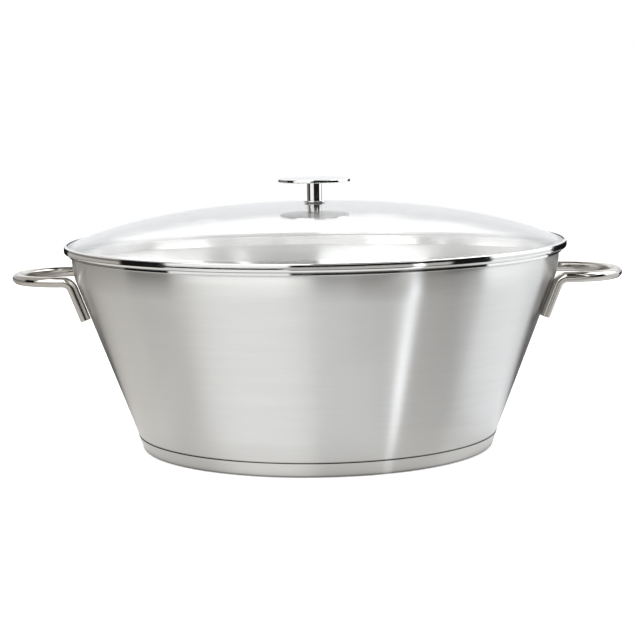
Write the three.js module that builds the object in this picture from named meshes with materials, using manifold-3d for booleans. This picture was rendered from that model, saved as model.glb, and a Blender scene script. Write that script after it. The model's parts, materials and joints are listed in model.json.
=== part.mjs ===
// Preserving pan: a wide conical steel pan with an encapsulated base, two rod handles and a domed
// glass lid held in a steel band. Millimetres, +Z up. The origin is the centre of the standing face,
// the handles lie along X, and the lid lifts off along +Z.

import * as THREE from "three";
import { mergeVertices } from "three/addons/utils/BufferGeometryUtils.js";
import Module from "manifold-3d";

// Base: an aluminium core between the pan's floor and a thin steel cap
const CAP_SHEET = 0.6;
const CAP_EDGE_BEND = 2;
const CAP_FLARE = 3.4;
const CORE_THICKNESS = 7.1;
const CORE_EDGE_BEND = 1.2;
const CORE_CLEARANCE = 0.3;
const SEAM_RISE = 2.3;
const SEAM_CLEARANCE = 0.15;

// Pan: one drawn sheet, a straight cone that bends into an upright neck with a pouring lip
const PAN_WALL = 0.9;
const PAN_HEIGHT = 134.7;
const FLOOR_RADIUS = 129.1;
const FLOOR_BEND = 6;
const NECK_RADIUS = 174.8;
const NECK_HEIGHT = 13.5;
const NECK_BEND = 45;
const LIP_WIDTH = 2.1;
const LIP_THICKNESS = 2;
const LIP_ROOT_BEND = 0.5;

// Handles: one bent rod each, its two legs welded down the cone
const ROD_DIAMETER = 7.5;
const ROD_BEND = 8;
const ROD_STRAIGHT = 0.5;
const LEG_SPACING = 76;
const LEG_LENGTH = 24;
const LOOP_DROP = 19.4;
const WELD_GAP = 0.3;

// Lid: a glass dome in a rolled band, with a skirt that keeps it in the mouth
const SEAT_CLEARANCE = 0.3;
const BAND_SHEET = 0.6;
const BAND_OVERHANG = 3.5;
const BAND_FOOT_BEND = 1.8;
const BAND_CROWN_BEND = 0.6;
const BAND_LIP_WIDTH = 1.6;
const SKIRT_DEPTH = 6.3;
const SKIRT_CLEARANCE = 1;
const GLASS_THICKNESS = 4;
const GLASS_CLEARANCE = 0.2;
const DOME_RISE = 27.4;
const DOME_SHOULDER = 0.3;

// Knob: a flat disc on a turned stem, screwed down through the glass between two seals
const DISC_RADIUS = 26;
const DISC_THICKNESS = 2.3;
const DISC_EDGE_BEND = 0.6;
const STEM_RADIUS = 5.3;
const STEM_HEIGHT = 13.7;
const STEM_TOP_WALL = 3;
const COLLAR_RADIUS = 7.8;
const COLLAR_THICKNESS = 0.8;
const COLLAR_EDGE_BEND = 0.3;
const SEAL_RADIUS = 6.4;
const SEAL_THICKNESS = 0.6;
const SEAL_GAP = 0.1;
const SPIGOT_WALL = 1.8;
const SPIGOT_DEPTH = 3;
const WASHER_RADIUS = 8;
const WASHER_THICKNESS = 1;
const SCREW_RADIUS = 2.5;
const SCREW_CLEARANCE = 0.2;
const SCREW_TIP_ROOM = 1;
const SCREW_HEAD_RADIUS = 4.6;
const SCREW_HEAD_HEIGHT = 2.8;
const SCREW_HEAD_BEND = 1.2;
const SOCKET_ACROSS_FLATS = 3.5;
const SOCKET_DEPTH = 1.6;

// Fineness of the facets
const PAN_SIDES = 64;
const KNOB_SIDES = 24;
const DOME_STEPS = 8;
const ROD_STEPS = 48;
const ROD_SIDES = 12;
const ARC_SAG = 0.1;
const SOCKET_SIDES = 6;

// Pan sizes that follow, with heights from the pan's underside
const neckFoot = PAN_HEIGHT - NECK_HEIGHT;
const wallAngle = Math.atan2(NECK_RADIUS - FLOOR_RADIUS, neckFoot);
const mouthRadius = NECK_RADIUS - PAN_WALL;
const lipRadius = NECK_RADIUS + LIP_WIDTH;
const panUnderside = CAP_SHEET + CORE_THICKNESS;

// Lid sizes that follow, with heights from the band's seat on the lip
const bandRadius = lipRadius + BAND_OVERHANG;
const glassRadius = bandRadius - BAND_SHEET - GLASS_CLEARANCE;
const glassFoot = BAND_SHEET + GLASS_CLEARANCE;
const glassEdgeTop = glassFoot + GLASS_THICKNESS;
const bandTop = glassEdgeTop + GLASS_CLEARANCE + BAND_SHEET;
const domeRadius = glassRadius - BAND_LIP_WIDTH - GLASS_CLEARANCE;
const domeTop = glassEdgeTop + DOME_RISE;

// Knob sizes that follow, with heights from the top of the dome
const screwHoleRadius = SCREW_RADIUS + SCREW_CLEARANCE;
const spigotRadius = screwHoleRadius + SPIGOT_WALL;
const glassHoleRadius = spigotRadius + GLASS_CLEARANCE;
const collarFoot = SEAL_THICKNESS;
const stemFoot = collarFoot + COLLAR_THICKNESS;
const discFoot = stemFoot + STEM_HEIGHT;
const lowerSealTop = -GLASS_THICKNESS - domeDrop(SEAL_RADIUS) - SEAL_GAP;
const washerTop = lowerSealTop - SEAL_THICKNESS;
const washerFoot = washerTop - WASHER_THICKNESS;
const boreTop = discFoot - STEM_TOP_WALL;

// Points of an outline with rounded corners; a corner is [radius, height] or [radius, height, bend]
function rounded(corners) {
  const points = [];
  corners.forEach(([radius, height, bend = 0], i) => {
    const corner = new THREE.Vector2(radius, height);
    if (bend === 0) {
      points.push(corner);
      return;
    }
    const towards = ([r, h]) => new THREE.Vector2(r, h).sub(corner).normalize();
    const back = towards(corners[(i + corners.length - 1) % corners.length]);
    const ahead = towards(corners[(i + 1) % corners.length]);
    const halfAngle = back.angleTo(ahead) / 2;
    const middle = back.clone().add(ahead).normalize();
    const centre = corner.clone().addScaledVector(middle, bend / Math.sin(halfAngle));
    const start = corner.clone().addScaledVector(back, bend / Math.tan(halfAngle));
    const sweep = Math.sign(ahead.cross(back)) * (Math.PI - 2 * halfAngle);
    const largestStep = 2 * Math.acos(Math.max(0, 1 - ARC_SAG / bend));
    const steps = Math.max(2, Math.ceil(Math.abs(sweep) / largestStep));
    for (let k = 0; k <= steps; k++) {
      points.push(start.clone().rotateAround(centre, (sweep * k) / steps));
    }
  });
  return points;
}

// Solid of revolution about Z; the outline runs counter-clockwise and starts and ends on the axis
function turned(points, sides) {
  return new THREE.LatheGeometry(points, sides).rotateX(Math.PI / 2);
}

// Ring about Z; the outline runs counter-clockwise, stays off the axis and is closed here
function turnedRing(points, sides) {
  return turned([...points, points[0]], sides);
}

// Flat ring with square edges, such as a washer
function plainRing(inside, outside, foot, top, sides) {
  const corners = [
    [inside, foot],
    [outside, foot],
    [outside, top],
    [inside, top],
  ];
  return turnedRing(rounded(corners), sides);
}

// Steel left satin by the brush
function brushedSteel() {
  return new THREE.MeshStandardMaterial({ color: 0xbfc0bd, roughness: 0.36, metalness: 1 });
}

// Steel polished to a mirror
function polishedSteel() {
  return new THREE.MeshStandardMaterial({ color: 0xd4d4d1, roughness: 0.1, metalness: 1 });
}

function aluminium() {
  return new THREE.MeshStandardMaterial({ color: 0xb4b6b8, roughness: 0.5, metalness: 1 });
}

function clearGlass() {
  const glass = { color: 0xe9efec, roughness: 0.03, metalness: 0, transparent: true, opacity: 0.25 };
  return new THREE.MeshStandardMaterial(glass);
}

function greySilicone() {
  return new THREE.MeshStandardMaterial({ color: 0x8d908f, roughness: 0.6, metalness: 0 });
}

// Outer radius of the pan's cone at a height above the pan's underside
function coneRadius(height) {
  return FLOOR_RADIUS + height * Math.tan(wallAngle);
}

// Outer radius of the pan low down, where its floor bends up into the cone
function floorBendRadius(height) {
  const bendTop = FLOOR_BEND * (1 - Math.sin(wallAngle));
  if (height > bendTop) {
    return coneRadius(height);
  }
  const flatRadius = FLOOR_RADIUS - FLOOR_BEND * Math.tan(Math.PI / 4 - wallAngle / 2);
  return flatRadius + Math.sqrt(FLOOR_BEND ** 2 - (FLOOR_BEND - height) ** 2);
}

// Drop of the dome below its top: a shallow crown that turns down faster at the shoulder
function domeDrop(radius) {
  const share = radius / domeRadius;
  return DOME_RISE * ((1 - DOME_SHOULDER) * share ** 2 + DOME_SHOULDER * share ** 4);
}

// Pan body: outer side up to the lip, then the inner side one wall thickness in
function panBody() {
  const innerFloorRadius =
    FLOOR_RADIUS - (PAN_WALL * (1 - Math.sin(wallAngle))) / Math.cos(wallAngle);
  const innerNeckFoot = PAN_WALL + (mouthRadius - innerFloorRadius) / Math.tan(wallAngle);
  const lipFoot = PAN_HEIGHT - LIP_THICKNESS;
  const outline = rounded([
    [0, 0],
    [FLOOR_RADIUS, 0, FLOOR_BEND],
    [NECK_RADIUS, neckFoot, NECK_BEND],
    [NECK_RADIUS, lipFoot, LIP_ROOT_BEND],
    [lipRadius, lipFoot, LIP_THICKNESS / 2],
    [lipRadius, PAN_HEIGHT, LIP_THICKNESS / 2],
    [mouthRadius, PAN_HEIGHT],
    [mouthRadius, innerNeckFoot, NECK_BEND - PAN_WALL],
    [innerFloorRadius, PAN_WALL, FLOOR_BEND - PAN_WALL],
    [0, PAN_WALL],
  ]);
  return piece("pan_body", turned(outline, PAN_SIDES), brushedSteel());
}

// Base cap and core: the cap's rim closes on the bend of the pan's floor and leaves a fine seam
function baseCapAndCore() {
  const rimInside = floorBendRadius(SEAM_RISE) + SEAM_CLEARANCE;
  const rimHeight = panUnderside + SEAM_RISE;
  const standRadius = rimInside + CAP_SHEET - CAP_FLARE;
  const capOutline = rounded([
    [0, 0],
    [standRadius, 0, CAP_EDGE_BEND],
    [rimInside + CAP_SHEET, rimHeight],
    [rimInside, rimHeight],
    [standRadius - CAP_SHEET, CAP_SHEET, CAP_EDGE_BEND - CAP_SHEET],
    [0, CAP_SHEET],
  ]);
  const coreRadius = standRadius - CAP_SHEET - CORE_CLEARANCE;
  const coreOutline = rounded([
    [0, CAP_SHEET],
    [coreRadius, CAP_SHEET, CORE_EDGE_BEND],
    [coreRadius, panUnderside],
    [0, panUnderside],
  ]);
  return [
    piece("base_cap", turned(capOutline, PAN_SIDES), brushedSteel()),
    piece("base_core", turned(coreOutline, PAN_SIDES), aluminium()),
  ];
}

// Circular arc from a start point, turning by an angle about an axis through a centre
class ArcCurve extends THREE.Curve {
  constructor(centre, start, axis, angle) {
    super();
    this.centre = centre;
    this.arm = start.clone().sub(centre);
    this.axis = axis;
    this.angle = angle;
  }

  getPoint(t, target = new THREE.Vector3()) {
    return target.copy(this.arm).applyAxisAngle(this.axis, this.angle * t).add(this.centre);
  }
}

// Handle at +X: up one leg along the cone, out through a bend, round the loop and down the other leg
function handleGeometry() {
  const rodRadius = ROD_DIAMETER / 2;
  const legY = LEG_SPACING / 2;
  const loopHeight = PAN_HEIGHT - LOOP_DROP;
  const axisOffset = (rodRadius + WELD_GAP) / Math.cos(wallAngle);
  const onCone = (height) => {
    const x = Math.sqrt((coneRadius(height) + axisOffset) ** 2 - legY ** 2);
    return new THREE.Vector3(x, legY, height);
  };
  const knee = onCone(loopHeight);
  const outward = new THREE.Vector3(1, 0, 0);
  const downward = onCone(loopHeight - LEG_LENGTH).sub(knee).normalize();
  const turn = Math.PI - downward.angleTo(outward);
  const kneeReach = ROD_BEND * Math.tan(turn / 2);
  const bendStart = knee.clone().addScaledVector(downward, kneeReach);
  const bendEnd = knee.clone().addScaledVector(outward, kneeReach);
  const bendCentre = bendEnd.clone().setZ(loopHeight - ROD_BEND);
  const legFoot = bendStart.clone().addScaledVector(downward, LEG_LENGTH);
  const loopStart = bendEnd.clone().addScaledVector(outward, ROD_STRAIGHT);
  const loopCentre = loopStart.clone().setY(0);
  const otherSide = (point) => point.clone().setY(-point.y);
  const acrossAxis = new THREE.Vector3(0, 1, 0);
  const downAxis = new THREE.Vector3(0, 0, -1);

  const path = new THREE.CurvePath();
  path.add(new THREE.LineCurve3(legFoot, bendStart));
  path.add(new ArcCurve(bendCentre, bendStart, acrossAxis, turn));
  path.add(new THREE.LineCurve3(bendEnd, loopStart));
  path.add(new ArcCurve(loopCentre, loopStart, downAxis, Math.PI));
  path.add(new THREE.LineCurve3(otherSide(loopStart), otherSide(bendEnd)));
  path.add(new ArcCurve(otherSide(bendCentre), otherSide(bendEnd), acrossAxis, -turn));
  path.add(new THREE.LineCurve3(otherSide(bendStart), otherSide(legFoot)));

  const section = new THREE.Shape().absarc(0, 0, rodRadius, 0, 2 * Math.PI);
  const sweep = { steps: ROD_STEPS, curveSegments: ROD_SIDES / 2, extrudePath: path };
  return new THREE.ExtrudeGeometry(section, sweep);
}

// Lid glass: the dome and its underside, a flat ground edge for the band, and the knob's hole
function lidGlass() {
  const surfacePoint = (step, top) => {
    const radius = glassHoleRadius + ((domeRadius - glassHoleRadius) * step) / DOME_STEPS;
    return [radius, top - domeDrop(radius)];
  };
  const corners = [];
  for (let step = 0; step <= DOME_STEPS; step++) {
    corners.push(surfacePoint(step, domeTop - GLASS_THICKNESS));
  }
  corners.push([glassRadius, glassFoot, BAND_FOOT_BEND - BAND_SHEET + GLASS_CLEARANCE]);
  corners.push([glassRadius, glassEdgeTop]);
  for (let step = DOME_STEPS; step >= 0; step--) {
    corners.push(surfacePoint(step, domeTop));
  }
  return piece("lid_glass", turnedRing(rounded(corners), PAN_SIDES), clearGlass());
}

// Lid band: a channel round the glass edge, seated on the pan's lip, and a skirt inside the mouth
function lidBand() {
  const skirtRadius = mouthRadius - SKIRT_CLEARANCE;
  const channelRadius = bandRadius - BAND_SHEET;
  const outline = rounded([
    [skirtRadius - BAND_SHEET, -SKIRT_DEPTH],
    [skirtRadius, -SKIRT_DEPTH],
    [skirtRadius, 0],
    [bandRadius, 0, BAND_FOOT_BEND],
    [bandRadius, bandTop, BAND_CROWN_BEND],
    [channelRadius - BAND_LIP_WIDTH, bandTop],
    [channelRadius - BAND_LIP_WIDTH, bandTop - BAND_SHEET],
    [channelRadius, bandTop - BAND_SHEET],
    [channelRadius, BAND_SHEET, BAND_FOOT_BEND - BAND_SHEET],
    [skirtRadius - BAND_SHEET, BAND_SHEET],
  ]);
  return piece("lid_band", turnedRing(outline, PAN_SIDES), polishedSteel());
}

// Knob top: the disc that the fingers lift, and the stem with its blind hole for the screw
function knobTop() {
  const discTop = discFoot + DISC_THICKNESS;
  const discOutline = rounded([
    [0, discFoot],
    [DISC_RADIUS, discFoot, DISC_EDGE_BEND],
    [DISC_RADIUS, discTop, DISC_EDGE_BEND],
    [0, discTop],
  ]);
  const stemOutline = rounded([
    [0, boreTop],
    [screwHoleRadius, boreTop],
    [screwHoleRadius, stemFoot],
    [STEM_RADIUS, stemFoot],
    [STEM_RADIUS, discFoot],
    [0, discFoot],
  ]);
  return [
    piece("knob_disc", turned(discOutline, KNOB_SIDES), polishedSteel()),
    piece("knob_stem", turned(stemOutline, KNOB_SIDES), polishedSteel()),
  ];
}

// Collar, seals and washer that spread the screw's pull over the glass
function knobSeat() {
  const collarOutline = rounded([
    [screwHoleRadius, collarFoot],
    [COLLAR_RADIUS, collarFoot],
    [COLLAR_RADIUS, stemFoot, COLLAR_EDGE_BEND],
    [screwHoleRadius, stemFoot],
  ]);
  const upperSealOutline = rounded([
    [screwHoleRadius, -SPIGOT_DEPTH],
    [spigotRadius, -SPIGOT_DEPTH],
    [spigotRadius, 0],
    [SEAL_RADIUS, 0],
    [SEAL_RADIUS, collarFoot],
    [screwHoleRadius, collarFoot],
  ]);
  const lowerSeal = plainRing(screwHoleRadius, SEAL_RADIUS, washerTop, lowerSealTop, KNOB_SIDES);
  const washer = plainRing(screwHoleRadius, WASHER_RADIUS, washerFoot, washerTop, KNOB_SIDES);
  return [
    piece("knob_collar", turnedRing(collarOutline, KNOB_SIDES), polishedSteel()),
    piece("knob_upper_seal", turnedRing(upperSealOutline, KNOB_SIDES), greySilicone()),
    piece("knob_lower_seal", lowerSeal, greySilicone()),
    piece("knob_washer", washer, brushedSteel()),
  ];
}

// Knob screw: shank up into the stem, round head under the washer, hexagon socket cut from below
function knobScrew(solids) {
  const headFoot = washerFoot - SCREW_HEAD_HEIGHT;
  const tip = boreTop - SCREW_TIP_ROOM;
  const outline = rounded([
    [0, headFoot],
    [SCREW_HEAD_RADIUS, headFoot, SCREW_HEAD_BEND],
    [SCREW_HEAD_RADIUS, washerFoot],
    [SCREW_RADIUS, washerFoot],
    [SCREW_RADIUS, tip],
    [0, tip],
  ]);
  const socketRadius = SOCKET_ACROSS_FLATS / 2 / Math.cos(Math.PI / SOCKET_SIDES);
  const socketLength = 2 * SOCKET_DEPTH;
  const socket = new THREE.CylinderGeometry(socketRadius, socketRadius, socketLength, SOCKET_SIDES);
  socket.rotateX(Math.PI / 2).translate(0, 0, headFoot);
  const geometry = cut(solids, turned(outline, KNOB_SIDES), socket);
  return piece("knob_screw", geometry, brushedSteel());
}

// One closed body minus another
function cut(solids, geometry, tool) {
  const toSolid = (source) => {
    const bare = source.clone().deleteAttribute("normal").deleteAttribute("uv");
    const merged = mergeVertices(bare);
    return new solids.Manifold(
      new solids.Mesh({
        numProp: 3,
        vertProperties: merged.attributes.position.array,
        triVerts: new Uint32Array(merged.index.array),
      }),
    );
  };
  const mesh = toSolid(geometry).subtract(toSolid(tool)).getMesh();
  return new THREE.BufferGeometry()
    .setAttribute("position", new THREE.BufferAttribute(mesh.vertProperties, mesh.numProp))
    .setIndex(new THREE.BufferAttribute(mesh.triVerts, 1));
}

// Named mesh of one sub-part
function piece(name, geometry, material) {
  const mesh = new THREE.Mesh(geometry, material);
  mesh.name = name;
  return mesh;
}

const solids = await Module();
solids.setup();

const handleRight = piece("handle_right", handleGeometry(), polishedSteel());
const handleLeft = piece("handle_left", handleGeometry(), polishedSteel());
handleLeft.rotation.z = Math.PI;

const knob = new THREE.Group();
knob.position.z = domeTop;
knob.add(...knobTop(), ...knobSeat(), knobScrew(solids));

const lid = new THREE.Group();
lid.position.z = PAN_HEIGHT + SEAT_CLEARANCE;
lid.add(lidBand(), lidGlass(), knob);

const pan = new THREE.Group();
pan.position.z = panUnderside;
pan.add(panBody(), handleRight, handleLeft, lid);

const preservingPan = new THREE.Group();
preservingPan.name = "preserving_pan";
preservingPan.add(...baseCapAndCore(), pan);

export default preservingPan;
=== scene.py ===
"""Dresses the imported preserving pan: smooth pieces over its solids, finishes and a studio."""

import json
import math

import bmesh
import bpy
from bpy.props import FloatProperty, FloatVectorProperty, IntProperty, PointerProperty
from bpy.types import Operator, Panel, PropertyGroup
from mathutils import Matrix, Vector


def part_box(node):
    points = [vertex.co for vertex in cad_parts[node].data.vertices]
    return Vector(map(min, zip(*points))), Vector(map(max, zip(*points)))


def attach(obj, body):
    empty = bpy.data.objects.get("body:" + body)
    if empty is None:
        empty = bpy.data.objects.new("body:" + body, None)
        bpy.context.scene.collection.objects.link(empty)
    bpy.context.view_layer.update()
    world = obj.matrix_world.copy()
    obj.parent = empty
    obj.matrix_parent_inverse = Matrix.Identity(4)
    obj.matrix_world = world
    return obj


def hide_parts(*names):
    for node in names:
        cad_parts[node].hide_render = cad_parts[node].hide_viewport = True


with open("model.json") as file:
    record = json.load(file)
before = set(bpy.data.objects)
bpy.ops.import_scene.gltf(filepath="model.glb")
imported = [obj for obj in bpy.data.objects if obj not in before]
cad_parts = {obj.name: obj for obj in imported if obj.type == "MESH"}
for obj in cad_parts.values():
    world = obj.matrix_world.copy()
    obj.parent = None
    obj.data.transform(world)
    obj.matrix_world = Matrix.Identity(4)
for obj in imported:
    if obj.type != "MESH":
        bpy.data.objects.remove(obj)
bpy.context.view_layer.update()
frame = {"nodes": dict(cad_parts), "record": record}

bl_info = {
    "name": "Preserving Pan",
    "version": (1, 0, 0),
    "blender": (4, 5, 0),
    "location": "View3D > Sidebar > Preserving Pan",
    "description": "Dresses the packed preserving pan in smooth pieces, finishes and a studio",
    "category": "Object",
}

SLOT_COLOURS = {entry["slot"]: entry["base_color"][:3] for entry in frame["record"]["materials"]}

# Fineness of the smooth meshes
BEND_STEP = math.radians(5)
FEWEST_BEND_STEPS = 4
MERGE_DISTANCE = 2e-6

# Vertex attribute that tells brushed steel where it is smoother
POLISH = "polish"

# Normals that point up by more than this belong to the pan's inner floor
UPWARD = 0.9

# Flat ring round the screw's socket, as a share of the socket's radius
SOCKET_LAND = 1.2


def length(name, description, millimetres):
    """A size that a user may change, kept in metres."""
    return FloatProperty(
        name=name,
        description=description,
        default=millimetres / 1000,
        min=0,
        precision=5,
        subtype="DISTANCE",
    )


def share(name, description, value):
    """A plain number from zero to one."""
    return FloatProperty(
        name=name, description=description, default=value, min=0, max=1, subtype="FACTOR"
    )


def tilt(name, description, value):
    """An angle in radians."""
    return FloatProperty(name=name, description=description, default=value, subtype="ANGLE")


def tint(name, description, value):
    """A colour that a user may change."""
    return FloatVectorProperty(
        name=name, description=description, default=value, size=3, min=0, max=1, subtype="COLOR"
    )


def steps(name, description, value):
    """A count of facets."""
    return IntProperty(name=name, description=description, default=value, min=8, max=512)


class PanSizes(PropertyGroup):
    """Sizes of the drawn pan, its base and its handles."""

    wall: length("Wall", "Thickness of the pan's sheet", 0.9)
    height: length("Height", "Pan from underside to lip", 134.7)
    floor_radius: length("Floor radius", "Where the cone's line meets the underside", 129.1)
    floor_bend: length("Floor bend", "Outer bend from floor to cone", 6)
    neck_radius: length("Neck radius", "Outside of the upright neck", 174.8)
    neck_height: length("Neck height", "Neck from the cone's line to the lip", 13.5)
    neck_bend: length("Neck bend", "Outer bend from cone to neck", 45)
    lip_width: length("Lip width", "How far the pouring lip stands out", 2.1)
    lip_thickness: length("Lip thickness", "Height of the rolled lip", 2)
    lip_lean: length("Lip lean", "How far the lip's outer face leans back", 0.2)
    lip_edge: length("Lip edge", "Bend on the lip's outer edges", 0.3)
    lip_root: length("Lip root", "Hollow bend under the lip", 0.5)
    mouth_edge: length("Mouth edge", "Bend on the lip's inner edge", 0.3)
    cap_sheet: length("Cap sheet", "Thickness of the base cap", 0.6)
    cap_bend: length("Cap bend", "Bend round the standing edge", 2)
    cap_flare: length("Cap flare", "How far the cap widens up to its rim", 3.4)
    cap_rim_edge: length("Cap rim edge", "Bend on the cut rim of the cap", 0.2)
    seam_rise: length("Seam rise", "Cap rim above the pan's underside", 2.3)
    seam_gap: length("Seam gap", "Fine gap between cap rim and pan", 0.15)
    rod: length("Rod", "Diameter of the handle rod", 7.5)
    rod_bend: length("Rod bend", "Bend of the rod's axis at the knee", 8)
    rod_straight: length("Rod straight", "Straight between knee and loop", 0.5)
    leg_spacing: length("Leg spacing", "Between the axes of the two legs", 76)
    leg_length: length("Leg length", "Straight leg down the cone", 24)
    leg_end: length("Leg end", "Bend on the cut end of a leg", 0.5)
    loop_drop: length("Loop drop", "Loop's axis below the lip", 19.4)
    weld_gap: length("Weld gap", "Between leg and cone", 0.3)
    facets: steps("Facets", "Facets round the pan and the lid", 256)
    rod_facets: steps("Rod facets", "Facets round the handle rod", 32)


class LidSizes(PropertyGroup):
    """Sizes of the lid's glass and band."""

    band_sheet: length("Band sheet", "Thickness of the rolled band", 0.6)
    band_overhang: length("Band overhang", "Band beyond the pan's lip", 3.5)
    band_foot: length("Band foot", "Outer bend at the foot of the band", 1.8)
    band_crown: length("Band crown", "Outer bend at the top of the band", 0.6)
    band_lip: length("Band lip", "Band's grip on top of the glass", 1.6)
    band_edge: length("Band edge", "Bend on the band's cut edges", 0.25)
    band_bow: length("Band bow", "How far the band's face bows between its bends", 0.06)
    band_cuts: steps("Band cuts", "Cuts across the band's face", 12)
    skirt_depth: length("Skirt depth", "Skirt below the seat", 6.3)
    skirt_gap: length("Skirt gap", "Between skirt and mouth", 1)
    glass: length("Glass", "Thickness of the glass", 4)
    glass_gap: length("Glass gap", "Between glass and band", 0.2)
    glass_edge: length("Glass edge", "Bend on the ground edges of the glass", 0.4)
    dome_rise: length("Dome rise", "Dome above the glass edge", 27.4)
    dome_shoulder: share("Dome shoulder", "How much the dome turns down near the band", 0.3)
    dome_cuts: steps("Dome cuts", "Cuts along the dome's outline", 39)


class KnobSizes(PropertyGroup):
    """Sizes of the knob and of what holds it."""

    disc: length("Disc", "Radius of the knob disc", 26)
    disc_edge: length("Disc edge", "Bend on the disc's rim", 0.6)
    stem: length("Stem", "Radius of the stem", 5.3)
    stem_wall: length("Stem wall", "Metal above the screw hole", 3)
    collar: length("Collar", "Radius of the collar", 7.8)
    collar_edge: length("Collar edge", "Bend on the collar's upper edge", 0.3)
    seal: length("Seal", "Radius of the silicone seals", 6.4)
    seal_edge: length("Seal edge", "Bend on the seals' edges", 0.15)
    spigot_wall: length("Spigot wall", "Wall of the seal's spigot in the glass", 1.8)
    washer: length("Washer", "Radius of the washer", 8)
    washer_edge: length("Washer edge", "Bend on the washer's edges", 0.2)
    screw: length("Screw", "Radius of the screw's shank", 2.5)
    screw_gap: length("Screw gap", "Between shank and hole", 0.2)
    head: length("Head", "Radius of the screw's head", 4.6)
    head_height: length("Head height", "Height of the screw's head", 2.8)
    head_bend: length("Head bend", "Round of the screw's head", 1.2)
    socket: length("Socket", "Hexagon socket across its flats", 3.5)
    socket_depth: length("Socket depth", "Depth of the hexagon socket", 1.6)
    socket_edge: length("Socket edge", "Bend on the socket's edges", 0.1)
    small_edge: length("Small edge", "Bend on the other turned edges", 0.15)
    facets: steps("Facets", "Facets round the knob", 128)


class Finishes(PropertyGroup):
    """Colours and roughness of the surfaces."""

    brushed: tint("Brushed steel", "Satin sheet", SLOT_COLOURS["brushed_steel"])
    brushed_roughness: share("Brushed roughness", "Mean roughness of the satin sheet", 0.3)
    inside_polish: share("Inside polish", "How much finer the inside of the pan is brushed", 0.6)
    polished: tint("Polished steel", "Mirror steel", SLOT_COLOURS["polished_steel"])
    polished_roughness: share("Polished roughness", "Mean roughness of the mirror steel", 0.07)
    rod: tint("Rod steel", "Drawn steel of the handles", (0.46, 0.44, 0.41))
    rod_roughness: share("Rod roughness", "Mean roughness of the handle rods", 0.1)
    aluminium: tint("Aluminium", "Core of the base", SLOT_COLOURS["aluminium"])
    glass: tint("Glass", "Clear lid glass", (0.985, 0.995, 0.99))
    silicone: tint("Silicone", "Seals", SLOT_COLOURS["grey_silicone"])


class StageSettings(PropertyGroup):
    """Camera, floor and light."""

    camera_distance: length("Camera distance", "From the pan's axis", 1357.38)
    camera_height: length("Camera height", "Above the floor", 265.68)
    camera_aside: length("Camera aside", "To the left of the pan's axis", 1.15)
    camera_down: tilt("Camera down", "Tilt below level", 0.12753)
    camera_yaw: tilt("Camera yaw", "Swing to the right", 0.00123)
    camera_roll: tilt("Camera roll", "Lean of the picture", 0.0148)
    camera_orbit: tilt("Camera orbit", "Round the pan", math.radians(2.4))
    camera_lens: FloatProperty(
        name="Lens", description="Focal length", default=106.93, min=1, unit="CAMERA"
    )
    floor_radius: length("Floor radius", "Round pale floor", 1900)
    floor: tint("Floor", "Pale floor", (0.8, 0.8, 0.8))
    floor_glow: share("Floor glow", "Light added to make the floor white", 0.3)
    lamp_power: FloatProperty(
        name="Lamp power", description="Soft lamp over the floor", default=14, min=0, unit="POWER"
    )


def feed(tree, node, inputs):
    """Gives each input of a node its value, or links it to a socket."""
    for key, value in inputs.items():
        if isinstance(value, bpy.types.NodeSocket):
            tree.links.new(value, node.inputs[key])
        else:
            node.inputs[key].default_value = value


def put(tree, kind, inputs=None, **settings):
    """A new node with its settings and inputs."""
    node = tree.nodes.new(kind)
    for key, value in settings.items():
        setattr(node, key, value)
    feed(tree, node, inputs or {})
    return node


def math_node(tree, operation, *values):
    """Output of one sum on values or sockets."""
    return put(tree, "ShaderNodeMath", dict(enumerate(values)), operation=operation).outputs[0]


def vector_node(tree, operation, *values):
    """Output of one sum on vectors."""
    node = put(tree, "ShaderNodeVectorMath", dict(enumerate(values)), operation=operation)
    return node.outputs["Value" if operation == "LENGTH" else "Vector"]


def remap(tree, value, low, high, new_low, new_high, smooth=False):
    """Output that carries a value from one range into another, held at its ends."""
    inputs = {
        "Value": value,
        "From Min": low,
        "From Max": high,
        "To Min": new_low,
        "To Max": new_high,
    }
    ease = "SMOOTHSTEP" if smooth else "LINEAR"
    return put(tree, "ShaderNodeMapRange", inputs, interpolation_type=ease).outputs["Result"]


def between(tree, value, low, high, edge):
    """Mask that is 1 between two values, with soft edges."""
    above = remap(tree, value, low - edge, low + edge, 0.0, 1.0, smooth=True)
    below = remap(tree, value, high - edge, high + edge, 1.0, 0.0, smooth=True)
    return math_node(tree, "MULTIPLY", above, below)


# Colour sockets of a mix node, by number because its value and vector sockets have the same names
MIX_FACTOR, MIX_FIRST, MIX_SECOND, MIX_RESULT = 0, 6, 7, 2


def blend(tree, factor, first, second):
    """Output that goes from a first colour to a second."""
    inputs = {MIX_FACTOR: factor, MIX_FIRST: first, MIX_SECOND: second}
    return put(tree, "ShaderNodeMix", inputs, data_type="RGBA").outputs[MIX_RESULT]


def shade(colour, amount):
    """A colour made lighter or darker, ready for a socket."""
    return tuple(min(1.0, part * amount) for part in colour) + (1.0,)


def vary(tree, factor, colour, shades):
    """Output that goes from one shade of a colour to another."""
    return blend(tree, factor, *(shade(colour, amount) for amount in shades))


def relief(tree, height, strength, depth):
    """Normal of a fine relief, from a height that changes over the surface."""
    inputs = {"Height": height, "Strength": strength, "Distance": depth}
    return put(tree, "ShaderNodeBump", inputs).outputs[0]


# Scratches: how each set is turned and drawn out, and their width as a share of a cell
HAIRLINE_LEANS = ((0.4, 0.9, 0.3), (-0.7, 0.2, 1.4))
HAIRLINE_STRETCH = (0.06, 1.0, 1.0)
HAIRLINE_WIDTH = 0.025
# Where in its noise a smudge begins and is full
SMUDGE_RANGE = (0.48, 0.72)


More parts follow.
